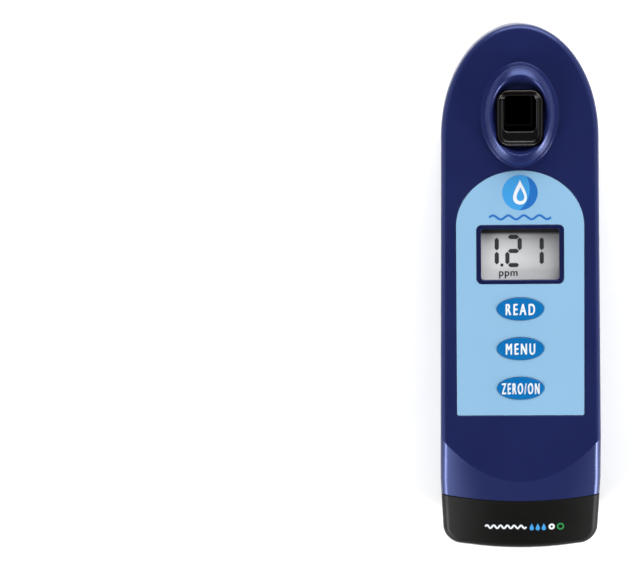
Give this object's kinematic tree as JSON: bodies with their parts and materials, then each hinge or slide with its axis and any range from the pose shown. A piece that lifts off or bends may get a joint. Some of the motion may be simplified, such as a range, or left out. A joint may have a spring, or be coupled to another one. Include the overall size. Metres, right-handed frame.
{
  "type": "digital water tester",
  "caption": "Handheld digital water tester: sealed case, arched keypad and display, raised oval collar round a built-in sample cell, and a screwed-on battery cap at the lower end.",
  "frame": {"origin": "centre of the bounding box in X and Y, at the flat back (z = 0); the tester lies on its back", "axes": "+Z out of the front face, +Y towards the head end with the sample cell, +X to the right of someone reading the keypad"},
  "size_m": [0.0506, 0.166, 0.038],
  "materials": {
    "case": "moulded, satin",
    "seal": "matt",
    "screw": "satin",
    "label": "satin film, blank",
    "overlay": "fine-grained film",
    "spacer": "film",
    "flex": "polyimide film",
    "dome": "polished",
    "key": "satin",
    "bezel": "satin",
    "window": "clear",
    "lcd": "reflective display glass",
    "holder": "moulded",
    "connector_rubber": "matt",
    "board": "solder mask",
    "chip": "moulded",
    "plug": "moulded",
    "bay": "moulded",
    "insert": "turned",
    "cell_black": "polished",
    "optics": "moulded",
    "lamp": "clear",
    "filter": "coloured glass",
    "sensor": "can",
    "cap": "moulded, satin",
    "cap_seal": "matt silicone",
    "spring": "wire",
    "contact": "nickel plated",
    "battery": "printed sleeve, blank",
    "cap_screw": "satin"
  },
  "bodies": {
    "body": {"front_housing": "case", "rear_housing": "case", "housing_gasket": "seal", "housing_screws": "screw", "rear_label": "label", "keypad_overlay": "overlay", "keypad_spacer": "spacer", "keypad_circuit": "flex", "read_dome": "dome", "menu_dome": "dome", "zero_dome": "dome", "display_bezel": "bezel", "display_window": "window", "lcd_panel": "lcd", "lcd_holder": "holder", "lcd_connectors": "connector_rubber", "main_board": "board", "board_screws": "screw", "microcontroller": "chip", "board_components": "chip", "battery_connector": "plug", "battery_bay": "bay", "cap_inserts": "insert", "sample_cell": "cell_black", "cell_seal": "seal", "optics_block": "optics", "led_board": "board", "led_lamps": "lamp", "optical_filter": "filter", "photodiode": "sensor", "sensor_board": "board", "sensor_ribbon": "flex"},
    "read_key": {"read_key": "key"},
    "menu_key": {"menu_key": "key"},
    "zero_key": {"zero_key": "key"},
    "battery_cap": {"battery_cap": "cap", "cap_seal": "cap_seal", "battery_tray": "bay", "battery_springs": "spring", "battery_contacts": "contact", "cell_1": "battery", "cell_2": "battery", "cell_3": "battery", "cell_4": "battery"},
    "cap_screw_left": {"cap_screw_left": "cap_screw"},
    "cap_screw_right": {"cap_screw_right": "cap_screw"}
  },
  "joints": [
    {"name": "read_press", "type": "slide", "parent": "body", "child": "read_key", "axis": [0, 0, -1], "range_m": [0, 0.00033], "stiffness_N_per_m": 2500, "springref_m": -0.0003, "deforming": ["read_dome"]},
    {"name": "menu_press", "type": "slide", "parent": "body", "child": "menu_key", "axis": [0, 0, -1], "range_m": [0, 0.00033], "stiffness_N_per_m": 2500, "springref_m": -0.0003, "deforming": ["menu_dome"]},
    {"name": "zero_press", "type": "slide", "parent": "body", "child": "zero_key", "axis": [0, 0, -1], "range_m": [0, 0.00033], "stiffness_N_per_m": 2500, "springref_m": -0.0003, "deforming": ["zero_dome"]},
    {"name": "cap_slide", "type": "slide", "parent": "body", "child": "battery_cap", "axis": [0, -1, 0], "range_m": [0, 0.06]},
    {"name": "cap_screw_left_turn", "type": "hinge", "parent": "battery_cap", "child": "cap_screw_left", "pos_m": [-0.0189, -0.078, 0.015], "axis": [0, -1, 0], "continuous": true},
    {"name": "cap_screw_right_turn", "type": "hinge", "parent": "battery_cap", "child": "cap_screw_right", "pos_m": [0.0189, -0.078, 0.015], "axis": [0, -1, 0], "continuous": true}
  ]
}
